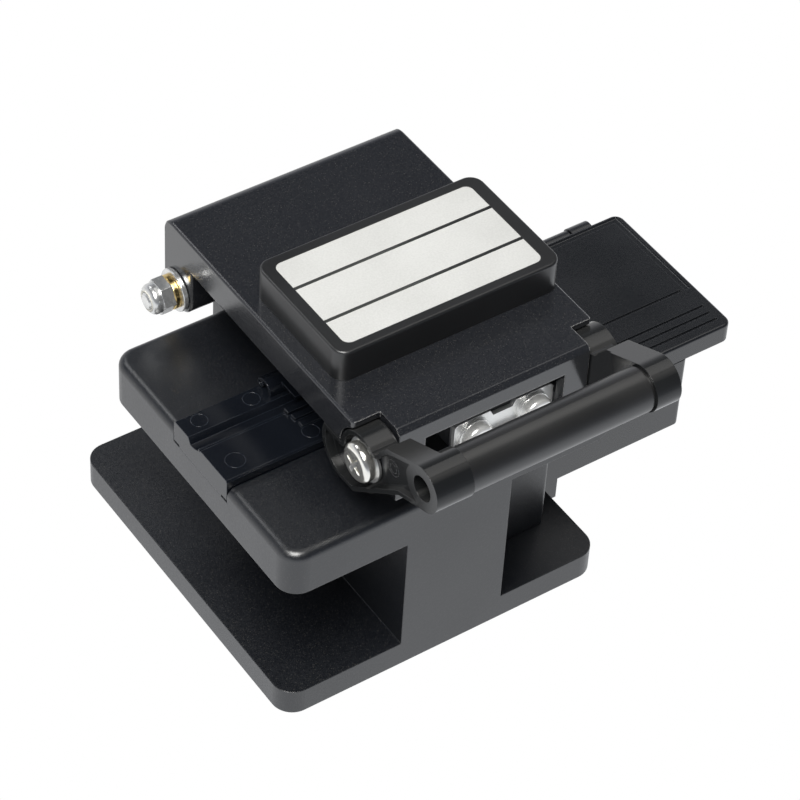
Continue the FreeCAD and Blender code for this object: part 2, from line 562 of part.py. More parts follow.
def arm_outline(x):
    """The arm's flat outline: a fin behind the pivot whose level upper edge stops under the
    lid, the hub, a valley that clears the lid when raised, and the bar's round end."""
    def p(u, v):
        return V(x, *lever_point(u, v))

    fin_arc = Part.Arc(p(-9.1, 4.5), p(-11.0, -0.4), p(-8.0, -4.8)).toShape()
    path = [(-8.0, -4.8), (-4.9, -6.3), (10.1, -3.1), (ARM_L, -BAR_BOSS_R),
            (ARM_L, BAR_BOSS_R), (9.6, 4.5), (7.0, 3.35)]
    sides = [Part.makeLine(p(*a), p(*b)) for a, b in zip(path, path[1:])]
    valley = Part.Arc(p(7.0, 3.35), p(5.2, 2.6), p(3.6, 3.4)).toShape()
    closing = [Part.makeLine(p(3.6, 3.4), p(-4.6, 2.2)), Part.makeLine(p(-4.6, 2.2), p(-9.1, 4.5))]
    arm = Part.Face(Part.Wire([fin_arc] + sides + [valley] + closing)).extrude(X)
    arm = arm.fuse([rod_x(HUB_R, x, x + 1, PIVOT_Y, PIVOT_Z),
                    rod_x(BAR_BOSS_R, x, x + 1, BAR_Y, BAR_Z)]).removeSplitter()
    return [face for face in arm.Faces if face.BoundBox.XMax < x + 0.01][0]


def lever_side(x0, x1, u0, u1):
    """All of the lever's side between two distances from the pivot."""
    corners = [lever_point(u, v) for u, v in ((u0, -20), (u1, -20), (u1, 20), (u0, 20))]
    return prism_x(corners, x0, x1)


def lever_arm(hub_floor):
    """The left arm: an outline with a rim round a sunk web."""
    x0, x1 = LID_X0, LID_X0 + ARM_T
    outline = arm_outline(x0)
    arm = outline.extrude(X * ARM_T)
    pocket = outline.makeOffset2D(-RIM).extrude(X * ARM_T)
    near_hub = pocket.common(lever_side(x0, x0 + hub_floor, -20, STEP_U)) if hub_floor else None
    near_bar = pocket.common(lever_side(x0, x0 + WEB_FLOOR, STEP_U, ARM_L))
    arm = arm.cut(near_bar)
    if near_hub:
        arm = arm.cut(near_hub)
    arm = arm.fuse(rod_x(BAR_BOSS_R, x0, x1, BAR_Y, BAR_Z))
    return arm.cut(rod_x(M4_R + RUNNING, 0, FAR, PIVOT_Y, PIVOT_Z))


def lever_arm_left():
    x1 = LID_X0 + ARM_T
    arm = lever_arm(HUB_FLOOR)
    hub = tube_x(HUB_R, M4_R + RUNNING, x1 - 1, x1 + 0.3, PIVOT_Y, PIVOT_Z)
    collar = rod_x(BAR_BOSS_R, x1, x1 + COLLAR_L, BAR_Y, BAR_Z)
    arm = arm.fuse([hub, collar])
    arm = arm.cut(rod_x(BAR_HOLE_R, 0, LID_X0 + BAR_HOLE_DEPTH, BAR_Y, BAR_Z))
    return arm.cut(rod_x(TIE_R + 0.05, 0, FAR, BAR_Y, BAR_Z))


def lever_arm_right():
    """The other hand of the arm, with a counterbored boss round the screw on its outer face
    and a pad on its inner face round the bar."""
    arm = mirrored(lever_arm(0))
    arm.translate(X * RIGHT_ARM_OUT)
    arm = arm.common(box(RIGHT_ARM_X, FAR, -FAR, FAR, 0, FAR))
    boss = tube_x(HUB_R, BORE_R, LID_X1, BOSS_X1, PIVOT_Y, PIVOT_Z)
    arm = arm.fuse(boss).cut(rod_x(BORE_R, BORE_FLOOR_X, FAR, PIVOT_Y, PIVOT_Z))
    pad = mirrored(arm_outline(LID_X0).extrude(X)).common(
        lever_side(0, FAR, INNER_PAD_U, ARM_L + 9))
    pad.translate(V(RIGHT_ARM_X - INNER_PAD_T - pad.BoundBox.XMin, 0, 0))
    arm = arm.fuse(pad).cut(rod_x(TIE_R + 0.05, 0, RIGHT_ARM_X, BAR_Y, BAR_Z))
    return arm.cut(rod_x(TIE_R - 0.3, RIGHT_ARM_X - 1, RIGHT_ARM_X + 3.2, BAR_Y, BAR_Z))


TIE_R, TIE_HEAD_T, BAR_HOLE_DEPTH = 1.3, 1.3, 5.0


def lever_bar():
    """The grip tube between the arms, with a narrow groove before the right arm."""
    x0, x1 = LID_X0 + ARM_T + COLLAR_L, RIGHT_ARM_X - INNER_PAD_T
    bar = tube_x(BAR_R, TIE_R + 0.1, x0, x1, BAR_Y, BAR_Z)
    ring = tube_x(BAR_R + 1, BAR_R - 0.35, x1 - 0.5, x1, BAR_Y, BAR_Z)
    return bar.cut(ring)


def lever_tie_screw():
    seat = LID_X0 + BAR_HOLE_DEPTH
    head = rod_x(BAR_HOLE_R - 0.15, seat - TIE_HEAD_T, seat, BAR_Y, BAR_Z)
    shank = rod_x(TIE_R, seat, RIGHT_ARM_X, BAR_Y, BAR_Z)
    core = rod_x(TIE_R - 0.32, RIGHT_ARM_X, RIGHT_ARM_X + 3.0, BAR_Y, BAR_Z)
    slot = box(0, seat - TIE_HEAD_T / 2, BAR_Y - 0.3, BAR_Y + 0.3, BAR_Z - 1.6, BAR_Z + 1.6)
    return head.fuse([shank, core]).cut(slot)


PIVOT_RING_T, PIVOT_RING_R = 0.5, 3.9


def pivot_screw(seat, notch_w):
    """Shoulder screw from the lid's side through an arm to the notch's inner wall."""
    wall = LID_X0 + notch_w
    screw = pan_screw(V(seat, PIVOT_Y, PIVOT_Z), X, M4_R, wall - seat, M4_HEAD_R, M4_HEAD_H)
    thread = rod_x(M4_R - 0.32, wall, wall + BOSS_L - 0.2, PIVOT_Y, PIVOT_Z)
    return screw.fuse(thread)


def pivot_washer(seat):
    return tube_x(PIVOT_RING_R, M4_R + 0.02, seat, seat + PIVOT_RING_T, PIVOT_Y, PIVOT_Z)


# The left screw's washer lies on the sunk web, and the right one's in the boss's counterbore.
LEFT_SEAT = LID_X0 + HUB_FLOOR - 0.1 - PIVOT_RING_T
RIGHT_SEAT = LID_X0 + LID_X1 - BORE_FLOOR_X - 0.1 - PIVOT_RING_T


# ============================== blade carriage =============================================
def guide_channel():
    """Steel channel let into the column's right side."""
    channel = box(COLUMN_X1 - GUIDE_D, COLUMN_X1 - 0.1, GUIDE_Y0 + 0.2, COLUMN_D,
                  GUIDE_Z0, GUIDE_Z1)
    floor_x = COLUMN_X1 - GUIDE_D + GUIDE_WALL / 2
    return channel.cut(box(floor_x, COLUMN_X1, 0, FAR, GUIDE_Z0 + GUIDE_WALL,
                           GUIDE_Z1 - GUIDE_WALL))


def slide_bar():
    """Bar on the carriage's left side that runs in the channel."""
    floor_x = COLUMN_X1 - GUIDE_D + GUIDE_WALL / 2
    inset = GUIDE_WALL + GUIDE_PLAY
    bar = box(floor_x + GUIDE_PLAY, CARRIAGE_X0, CARRIAGE_Y0 + 0.2, CARRIAGE_Y1,
              GUIDE_Z0 + inset, GUIDE_Z1 - inset)
    return bar.makeChamfer(0.4, edges_where(bar, lambda e: at(e, x=floor_x + GUIDE_PLAY)))


FORK_X0, FORK_X1 = 45.3, 46.9     # upright that carries the blade, inside the deck's slot


def carriage_block():
    block = box(CARRIAGE_X0, CARRIAGE_X1, CARRIAGE_Y0, CARRIAGE_Y1, CARRIAGE_Z0, CARRIAGE_Z1)
    block = block.makeFillet(0.8, edges_where(
        block, lambda e: along(e, Z) and at(e, x=CARRIAGE_X1)))
    fork = prism_x([(BLADE_Y - 5, CARRIAGE_Z1 - 4), (BLADE_Y + 5, CARRIAGE_Z1 - 4),
                    (BLADE_Y + 2.6, BLADE_Z + 2.6), (BLADE_Y - 2.6, BLADE_Z + 2.6)],
                   FORK_X0, FORK_X1)
    block = block.fuse(fork)
    # room for the blade and its clamp disc
    block = block.cut(rod_x(BLADE_R + 0.6, FORK_X1, SLOT_X1 - 0.2, BLADE_Y, BLADE_Z))
    # pull recess in the side
    middle_y = (CARRIAGE_Y0 + CARRIAGE_Y1) / 2
    block = block.cut(rod(5.0, V(CARRIAGE_X1 - 0.8, middle_y, 15.5), X, 5))
    block = block.cut(rod_z(M3_R + 0.02, HEIGHT_SCREW_X, HEIGHT_SCREW_Y,
                            CARRIAGE_Z1 - HEIGHT_SCREW_L, FAR))
    return block.cut(rod_x(AXLE_R + 0.01, FORK_X0 - 0.1, FORK_X1 + 1, BLADE_Y, BLADE_Z))


AXLE_R, AXLE_HEAD_R = 1.5, 3.0
HEIGHT_SCREW_X, HEIGHT_SCREW_Y = 50.2, CARRIAGE_Y1 - 3.5
HEIGHT_SCREW_L = 5.0


def blade_axle():
    """Shoulder screw through the blade into the carriage's upright."""
    shoulder = rod_x(AXLE_R, FORK_X0, BLADE_X + BLADE_T / 2 + 1.1, BLADE_Y, BLADE_Z)
    head = rod_x(AXLE_HEAD_R - 0.6, BLADE_X + BLADE_T / 2 + 1.1, SLOT_X1 - 0.5, BLADE_Y, BLADE_Z)
    slot = box(SLOT_X1 - 1.0, FAR, BLADE_Y - 0.35, BLADE_Y + 0.35, BLADE_Z - 2, BLADE_Z + 2)
    return shoulder.fuse(head).cut(slot)


def cleaving_blade():
    """Round blade with a bevelled edge on both sides."""
    x0, x1, bevel = BLADE_X - BLADE_T / 2, BLADE_X + BLADE_T / 2, 1.1
    side = Part.makePolygon([V(x0, AXLE_R + RUNNING, 0), V(x0, BLADE_R - bevel, 0),
                             V(BLADE_X - 0.04, BLADE_R, 0), V(BLADE_X + 0.04, BLADE_R, 0),
                             V(x1, BLADE_R - bevel, 0), V(x1, AXLE_R + RUNNING, 0),
                             V(x0, AXLE_R + RUNNING, 0)])
    disc = Part.Face(side).revolve(V(0, 0, 0), X, 360)
    disc.translate(V(0, BLADE_Y, BLADE_Z))
    return disc


def blade_clamp_disc():
    x0 = BLADE_X + BLADE_T / 2
    disc = tube_x(4.2, AXLE_R + RUNNING, x0, x0 + 1.0, BLADE_Y, BLADE_Z)
    # eight index holes let a tool turn the blade to a fresh place on its edge
    for k in range(8):
        a = math.radians(45 * k)
        disc = disc.cut(rod_x(0.45, 0, FAR, BLADE_Y + 3.2 * math.cos(a),
                              BLADE_Z + 3.2 * math.sin(a)))
    return disc


def height_screw():
    """Set screw in the carriage's rear top that trims the blade's height."""
    x, y = HEIGHT_SCREW_X, HEIGHT_SCREW_Y
    screw = rod_z(M3_R, x, y, CARRIAGE_Z1 - HEIGHT_SCREW_L, CARRIAGE_Z1)
    return screw.cut(box(x - 2, x + 2, y - 0.3, y + 0.3, CARRIAGE_Z1 - 0.8, FAR))


# ============================== scrap box =====================================================
BOX_SCREWS_Y, BOX_SCREW_Z, BOX_SCREW_R, BOX_SCREW_REACH = (25.0, 41.0), 3.0, 1.25, 4.5
KNUCKLES = ((66.4, 70.2, KNUCKLE_R), (92.2, 96.4, KNUCKLE_R + 0.25))
BARREL = (70.5, 91.9)
PANEL_Y0, PANEL_Y1, PANEL_X1 = 28.0, 49.8, 101.5
RIM_W, LINE_W, GROOVE_END_X = 1.3, 0.5, 100.6


def collector_box():
    outer = box(BOX_X0, BOX_X1, BOX_Y0, BOX_Y1, BOX_Z0, BOX_Z1)
    outer = outer.makeFillet(1.0, edges_where(
        outer, lambda e: at(e, x=BOX_X1) and not at(e, z=BOX_Z1)))
    leg = box(BOX_X0, BOX_X0 + LEG_T, BOX_Y0, BOX_Y1, 0.3, BOX_Z1)
    inner = box(BOX_X0 + LEG_T, BOX_X1 - BOX_WALL, BOX_Y0 + BOX_WALL, BOX_Y1 - BOX_WALL,
                BOX_Z0 + BOX_WALL, FAR)
    barrel = rod_x(KNUCKLE_R, BARREL[0], BARREL[1], FLAP_HINGE_Y, FLAP_HINGE_Z)
    neck = box(BARREL[0], BARREL[1], BOX_Y1 - 1, FLAP_HINGE_Y, BOX_Z1 - 3.5, BOX_Z1 - 0.1)
    heel = prism_x([(BOX_Y1 - 1, BOX_Z1 - 6), (FLAP_HINGE_Y, BOX_Z1 - 3.5),
                    (FLAP_HINGE_Y + KNUCKLE_R, FLAP_HINGE_Z), (FLAP_HINGE_Y, FLAP_HINGE_Z),
                    (FLAP_HINGE_Y - 0.5, BOX_Z1 - 0.1), (BOX_Y1 - 1, BOX_Z1 - 2)],
                   BARREL[0], BARREL[1])
    shell = outer.fuse([leg, barrel, neck, heel]).cut(inner)
    for y in BOX_SCREWS_Y:
        shell = shell.cut(rod_x(BOX_SCREW_R + 0.02, 0, FAR, y, BOX_SCREW_Z))
    return shell.cut(rod_x(FLAP_PIN_R, 0, FAR, FLAP_HINGE_Y, FLAP_HINGE_Z))


def collector_screws():
    length = BOX_X0 + LEG_T - BASE_W + BOX_SCREW_REACH - 0.3
    return Part.makeCompound([pan_screw(V(BOX_X0 + LEG_T, y, BOX_SCREW_Z), X * -1, BOX_SCREW_R,
                                        length, 1.7, 1.3) for y in BOX_SCREWS_Y])


def collector_flap():
    """Flip lid: a slab with a soft groove round a panel and three grip grooves in front."""
    slab = round_block(FLAP_X0, FLAP_X1, BOX_Y0, FLAP_Y1, FLAP_Z0, FLAP_Z1, FLAP_CORNER)
    slab = slab.makeFillet(0.5, edges_where(slab, lambda e: at(e, z=FLAP_Z1)))
    top = FLAP_Z1
    rim = box(FLAP_X0 - 5, PANEL_X1, PANEL_Y0, PANEL_Y1, top - 0.35, FAR)
    rim = rim.cut(box(FLAP_X0 - 6, PANEL_X1 - RIM_W, 0, PANEL_Y1 - RIM_W, 0, FAR))
    line = box(FLAP_X0 + 3, PANEL_X1 - 2, PANEL_Y0, PANEL_Y0 + LINE_W, top - 0.35, FAR)
    slab = slab.cut(rim.makeFillet(0.3, edges_where(rim, lambda e: at(e, z=top - 0.35))))
    slab = slab.cut(line)
    for k in range(3):
        y = BOX_Y0 + 2.0 + 1.9 * k
        slab = slab.cut(box(FLAP_X0 + 5, GROOVE_END_X, y, y + LINE_W, top - 0.4, FAR))
    slab = slab.cut(rod_x(KNUCKLE_R + 0.3, BARREL[0] - 0.3, BARREL[1] + 0.3,
                          FLAP_HINGE_Y, FLAP_HINGE_Z))
    for x0, x1, r in KNUCKLES:
        slab = slab.fuse(rod_x(r, x0, x1, FLAP_HINGE_Y, FLAP_HINGE_Z))
    return slab.cut(rod_x(FLAP_PIN_R + RUNNING, 0, FAR, FLAP_HINGE_Y, FLAP_HINGE_Z))


def flap_pin():
    return rod_x(FLAP_PIN_R, KNUCKLES[0][0] + 0.2, KNUCKLES[1][1] - 0.2,
                 FLAP_HINGE_Y, FLAP_HINGE_Z)


# ============================== all pieces ======================================================
os.makedirs("parts", exist_ok=True)

PIECES = {
    "body_frame": body_frame,
    "base_pad": base_pad,
    "lower_clamp_left": lambda: lower_clamp(LEFT_CLAMP_X),
    "lower_clamp_right": lambda: lower_clamp(RIGHT_CLAMP_X),
    "lower_pad_left": lambda: rubber_pad(LEFT_CLAMP_X, FIBRE_Z - PAD_H),
    "lower_pad_right": lambda: rubber_pad(RIGHT_CLAMP_X, FIBRE_Z - PAD_H),
    "lid_magnet": lid_magnet,
    "fibre_adapter": fibre_adapter,
    "fibre_clip": fibre_clip,
    "clip_pin": clip_pin,
    "hinge_shaft": hinge_shaft,
    "hinge_flat_washers": hinge_flat_washers,
    "hinge_brass_washer": hinge_brass_washer,
    "hinge_nut": hinge_nut,
    "lid_shell": lid_shell,
    "label_cap": label_cap,
    "label_plate": label_plate,
    "magnet_keeper": magnet_keeper,
    "upper_clamp_left": lambda: upper_clamp(LEFT_CLAMP_X),
    "upper_clamp_right": lambda: upper_clamp(RIGHT_CLAMP_X),
    "upper_pad_left": lambda: rubber_pad(LEFT_CLAMP_X, UPPER_PAD_Z),
    "upper_pad_right": lambda: rubber_pad(RIGHT_CLAMP_X, UPPER_PAD_Z),
    "clamp_spring_left": lambda: clamp_spring(LEFT_CLAMP_X),
    "clamp_spring_right": lambda: clamp_spring(RIGHT_CLAMP_X),
    "anvil_mount": anvil_mount,
    "anvil_plate": anvil_plate,
    "plate_screws": plate_screws,
    "spring_washers": spring_washers,
    "anvil_bracket": anvil_bracket,
    "anvil_pin": anvil_pin,
    "anvil_arm": anvil_arm,
    "anvil_tip": anvil_tip,
    "lever_arm_left": lever_arm_left,
    "lever_arm_right": lever_arm_right,
    "lever_bar": lever_bar,
    "lever_tie_screw": lever_tie_screw,
    "pivot_screw_left": lambda: pivot_screw(LEFT_SEAT, NOTCH_X0 - LID_X0),
    "pivot_screw_right": lambda: mirrored(pivot_screw(RIGHT_SEAT, LID_X1 - NOTCH_X1)),
    "pivot_washer_left": lambda: pivot_washer(LEFT_SEAT),
    "pivot_washer_right": lambda: mirrored(pivot_washer(RIGHT_SEAT)),
    "guide_channel": guide_channel,
    "slide_bar": slide_bar,
    "carriage_block": carriage_block,
    "blade_axle": blade_axle,
    "cleaving_blade": cleaving_blade,
    "blade_clamp_disc": blade_clamp_disc,
    "height_screw": height_screw,
    "collector_box": collector_box,
    "collector_screws": collector_screws,
    "collector_flap": collector_flap,
    "flap_pin": flap_pin,
}

for piece_name, make in PIECES.items():
    write(piece_name, make())
print(len(PIECES), "pieces")
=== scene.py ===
import json
import math

import bmesh
import bpy
from mathutils import Matrix, Vector


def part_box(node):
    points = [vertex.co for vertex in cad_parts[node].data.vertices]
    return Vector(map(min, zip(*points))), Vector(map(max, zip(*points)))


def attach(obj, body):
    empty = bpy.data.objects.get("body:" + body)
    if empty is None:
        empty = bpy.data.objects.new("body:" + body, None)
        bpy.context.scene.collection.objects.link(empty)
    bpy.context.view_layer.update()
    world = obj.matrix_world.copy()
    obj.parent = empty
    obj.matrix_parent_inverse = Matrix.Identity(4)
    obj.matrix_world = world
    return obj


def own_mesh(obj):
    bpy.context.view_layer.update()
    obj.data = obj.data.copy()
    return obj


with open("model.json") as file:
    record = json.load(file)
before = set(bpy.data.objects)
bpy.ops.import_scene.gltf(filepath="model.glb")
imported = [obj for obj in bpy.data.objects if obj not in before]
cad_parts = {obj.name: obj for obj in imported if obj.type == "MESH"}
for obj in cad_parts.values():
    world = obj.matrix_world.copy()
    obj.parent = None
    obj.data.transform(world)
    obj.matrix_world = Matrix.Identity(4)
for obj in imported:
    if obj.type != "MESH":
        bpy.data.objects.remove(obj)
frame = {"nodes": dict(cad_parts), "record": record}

NODES = frame["nodes"]
scene = bpy.context.scene
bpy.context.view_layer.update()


# ------------------------------------------------------------------ small helpers
def at(x, y, z):
    """A point given in mm from the base's front left corner, in the row frame's metres."""
    return Vector(((x - 31.5) / 1000, (y - 32.5) / 1000, z / 1000))


def mm(v):
    return v / 1000


RISE = math.radians(27.4)   # how far the lever's arms lean at rest
WHITE = (1, 1, 1)


# ------------------------------------------------------------------ node trees
class Graph:
    """Short names for adding and joining nodes in a material's or the world's tree."""

    def __init__(self, tree):
        self.tree = tree
        self.coord = self.node("ShaderNodeTexCoord")

    def node(self, kind, **settings):
        n = self.tree.nodes.new(kind)
        for key, value in settings.items():
            setattr(n, key, value)
        return n

    def link(self, a, b):
        self.tree.links.new(a, b)

    def plug(self, socket, value):
        """Joins an output to a socket, or writes a plain number or colour on it."""
        if isinstance(value, tuple):
            socket.default_value = (*value, 1)
        elif isinstance(value, (int, float)):
            socket.default_value = value
        else:
            self.link(value, socket)

    def ramp(self, fac, stops):
        """stops: [(place, colour or number), ...]"""
        r = self.node("ShaderNodeValToRGB")
        elements = r.color_ramp.elements
        while len(elements) < len(stops):
            elements.new(0.5)
        for e, (place, value) in zip(elements, stops):
            e.position = place
            e.color = (*value, 1) if isinstance(value, tuple) else (value, value, value, 1)
        self.link(fac, r.inputs["Fac"])
        return r.outputs["Color"]

    def to_range(self, fac, low, high, from_low=0.3, from_high=0.7):
        m = self.node("ShaderNodeMapRange")
        for key, value in zip(("From Min", "From Max", "To Min", "To Max"),
                              (from_low, from_high, low, high)):
            m.inputs[key].default_value = value
        self.link(fac, m.inputs["Value"])
        return m.outputs["Result"]

    def maths(self, operation, *values):
        m = self.node("ShaderNodeMath", operation=operation)
        for socket, value in zip(m.inputs, values):
            self.plug(socket, value)
        return m.outputs["Value"]

    def mix(self, fac, a, b):
        m = self.node("ShaderNodeMix", data_type="RGBA")
        self.link(fac, m.inputs["Factor"])
        self.plug(m.inputs[6], a)
        self.plug(m.inputs[7], b)
        return m.outputs[2]

    def part_of(self, vector, axis):
        split = self.node("ShaderNodeSeparateXYZ")
        self.link(vector, split.inputs[0])
        return split.outputs[axis]


# ------------------------------------------------------------------ materials
class Shader(Graph):
    """A principled material with helpers that add procedural nodes to it."""

    def __init__(self, name):
        self.mat = bpy.data.materials.new(name)
        self.mat.use_nodes = True
        super().__init__(self.mat.node_tree)
        self.bsdf = self.tree.nodes["Principled BSDF"]

    def set(self, name, value):
        """Writes a value or joins an output to one of the shader's own sockets."""
        self.plug(self.bsdf.inputs[name], value)

    def noise(self, scale, detail=2.0, rough=0.5, stretch=(1, 1, 1)):
        """Noise on the object's own coordinates, in metres, stretched along each axis."""
        m = self.node("ShaderNodeMapping")
        m.inputs["Scale"].default_value = stretch
        self.link(self.coord.outputs["Object"], m.inputs["Vector"])
        n = self.node("ShaderNodeTexNoise")
        n.inputs["Scale"].default_value = scale
        n.inputs["Detail"].default_value = detail
        n.inputs["Roughness"].default_value = rough
        self.link(m.outputs["Vector"], n.inputs["Vector"])
        return n.outputs["Fac"]

    def edges(self, radius, gain=3.0):
        """A mask of the convex edges: how far the rounded normal leans from the true one."""
        geometry = self.node("ShaderNodeNewGeometry")
        dot = self.node("ShaderNodeVectorMath", operation="DOT_PRODUCT")
        self.link(self.soft_edge(radius, samples=4), dot.inputs[0])
        self.link(geometry.outputs["Normal"], dot.inputs[1])
        lean = self.maths("SUBTRACT", 1.0, dot.outputs["Value"])
        clamp = self.node("ShaderNodeClamp")
        self.link(self.maths("MULTIPLY", lean, gain), clamp.inputs["Value"])
        return clamp.outputs["Result"]

    def soft_edge(self, radius, samples=6):
        b = self.node("ShaderNodeBevel", samples=samples)
        b.inputs["Radius"].default_value = radius
        return b.outputs["Normal"]

    def bump(self, height, strength, distance, edge):
        """Bump over a softened edge, wired to the shader's normal."""
        b = self.node("ShaderNodeBump")
        b.inputs["Strength"].default_value = strength
        b.inputs["Distance"].default_value = distance
        self.link(height, b.inputs["Height"])
        self.link(self.soft_edge(edge), b.inputs["Normal"])
        self.set("Normal", b.outputs["Normal"])


def brighter(colour, factor):
    return tuple(min(1, c * factor) for c in colour)


# Flakes in the paint, with their sparkle painted in as bright specks: painted glints.
FLAKE_GLINT = (0.16, 0.15, 0.13)        # the bright grains in sprayed paint
CORNER_GLINT_GREY = (0.62, 0.61, 0.58)   # painted glint on sharp corners


def paint(name, dark, light, rough, grain, grain_height, edge=0.00025, corner_glint=0.0,
          orange_peel=0.8):
    """Sprayed satin paint: a fine even grain, rare bright specks painted in as flake glints, and
    edges a little smoother and painted lighter, partly wear and partly a painted edge highlight.

    corner_glint: how strongly the sharp corners are painted light grey, a painted glint.
    orange_peel: the height of the paint's coarser ripple beside its fine grain."""
    s = Shader(name)
    fine = s.noise(grain)
    coarse = s.noise(grain * 0.28)
    blend = s.maths("ADD", s.maths("MULTIPLY", fine, 0.82), s.maths("MULTIPLY", coarse, 0.18))
    # Rare bright specks: the paint's flakes, with painted glints.
    flake_glint = s.ramp(s.noise(grain * 0.75, 0.0), [(0.70, 0.0), (0.80, 0.20)])
    tone = s.mix(flake_glint, s.ramp(blend, [(0.36, dark), (0.64, light)]), FLAKE_GLINT)
    # Edge mask: less rough from wear, and lighter in colour, partly wear and partly a painted
    # edge highlight.
    wear_and_highlight = s.edges(edge)
    colour = s.mix(s.maths("MULTIPLY", wear_and_highlight, 0.16), tone, brighter(light, 2.5))
    # Sharp corners painted light grey: a painted glint.
    if corner_glint:
        corner = s.to_range(s.edges(0.0006, 1.0), 0.0, corner_glint, 0.54, 0.62)
        colour = s.mix(corner, colour, CORNER_GLINT_GREY)
    s.set("Base Color", colour)
    base = s.to_range(s.noise(60), rough - 0.02, rough + 0.03)
    grainy = s.maths("ADD", base, s.to_range(coarse, -0.03, 0.04))
    s.set("Roughness", s.maths("SUBTRACT", grainy, s.maths("MULTIPLY", wear_and_highlight, 0.10)))
    s.set("Specular IOR Level", 1.0)
    height = s.maths("ADD", fine, s.maths("MULTIPLY", coarse, orange_peel))
    s.bump(height, 0.6, grain_height, edge)
    return s.mat


def metal(name, low, high, rough, metallic=1.0, brushed=(1, 1, 1)):
    """Bare or plated metal: faintly brushed, cloudy gloss, with edges painted lighter, a painted
    edge highlight.
    """
    s = Shader(name)
    edge = 0.0001
    lines = s.noise(400, 3.0, 0.5, brushed)
    tone = s.ramp(lines, [(0.3, low), (0.7, high)])
    s.set("Metallic", metallic)
    # Edges painted lighter: a painted edge highlight.
    s.set("Base Color", s.mix(s.edges(edge), tone, brighter(high, 1.15)))
    s.set("Roughness", s.maths("ADD", s.to_range(lines, rough - 0.02, rough + 0.04),
                               s.to_range(s.noise(160), -0.02, 0.03)))
    s.bump(lines, 0.3, 0.000001, edge)
    return s.mat


def plastic(name, dark, light, rough, grain, height, spec=0.5, edge=0.0002, upper_face_colour=None,
            edge_highlight=0.48):
    """Moulded plastic or rubber: an even tone, a very fine skin and edges painted lighter, a
    painted edge highlight.

    upper_face_colour: a lighter colour for the faces that face the same way as the lever arms'
    flat upper faces.
    shine: how much lighter than the rest the edges are painted, a painted edge highlight."""
    s = Shader(name)
    fine = s.noise(grain)
    cloud = s.noise(45)
    # Edges painted lighter: a painted edge highlight.
    colour = s.mix(s.maths("MULTIPLY", s.edges(edge), 0.5),
                   s.ramp(cloud, [(0.3, dark), (0.7, light)]), brighter(light, 1 + 2 * edge_highlight))
    # Faces turned like the arms' flat upper faces take a lighter colour.
    if upper_face_colour:
        facing = s.part_of(s.coord.outputs["Normal"], "Z")
        away = s.maths("ABSOLUTE", s.maths("SUBTRACT", facing, math.cos(RISE)))
        colour = s.mix(s.to_range(away, 1.0, 0.0, 0.0, 0.13), colour, upper_face_colour)
    s.set("Base Color", colour)
    s.set("Roughness", s.maths("ADD", s.to_range(cloud, rough - 0.02, rough + 0.03),
                               s.to_range(fine, -0.02, 0.03)))
    s.set("Specular IOR Level", spec)
    s.bump(fine, 0.5, height, edge)
    return s.mat


def foil(name, dark, light):
    """Silver foil under a satin coat, with a trace of print grain."""
    s = Shader(name)
    fine = s.noise(3000)
    cloud = s.noise(90)
    blend = s.maths("ADD", s.maths("MULTIPLY", fine, 0.6), s.maths("MULTIPLY", cloud, 0.4))
    s.set("Base Color", s.ramp(blend, [(0.35, dark), (0.65, light)]))
    s.set("Roughness", s.to_range(cloud, 0.42, 0.50))
    s.set("Metallic", 0.25)
    s.bump(fine, 0.3, 0.000002, 0.0001)
    return s.mat


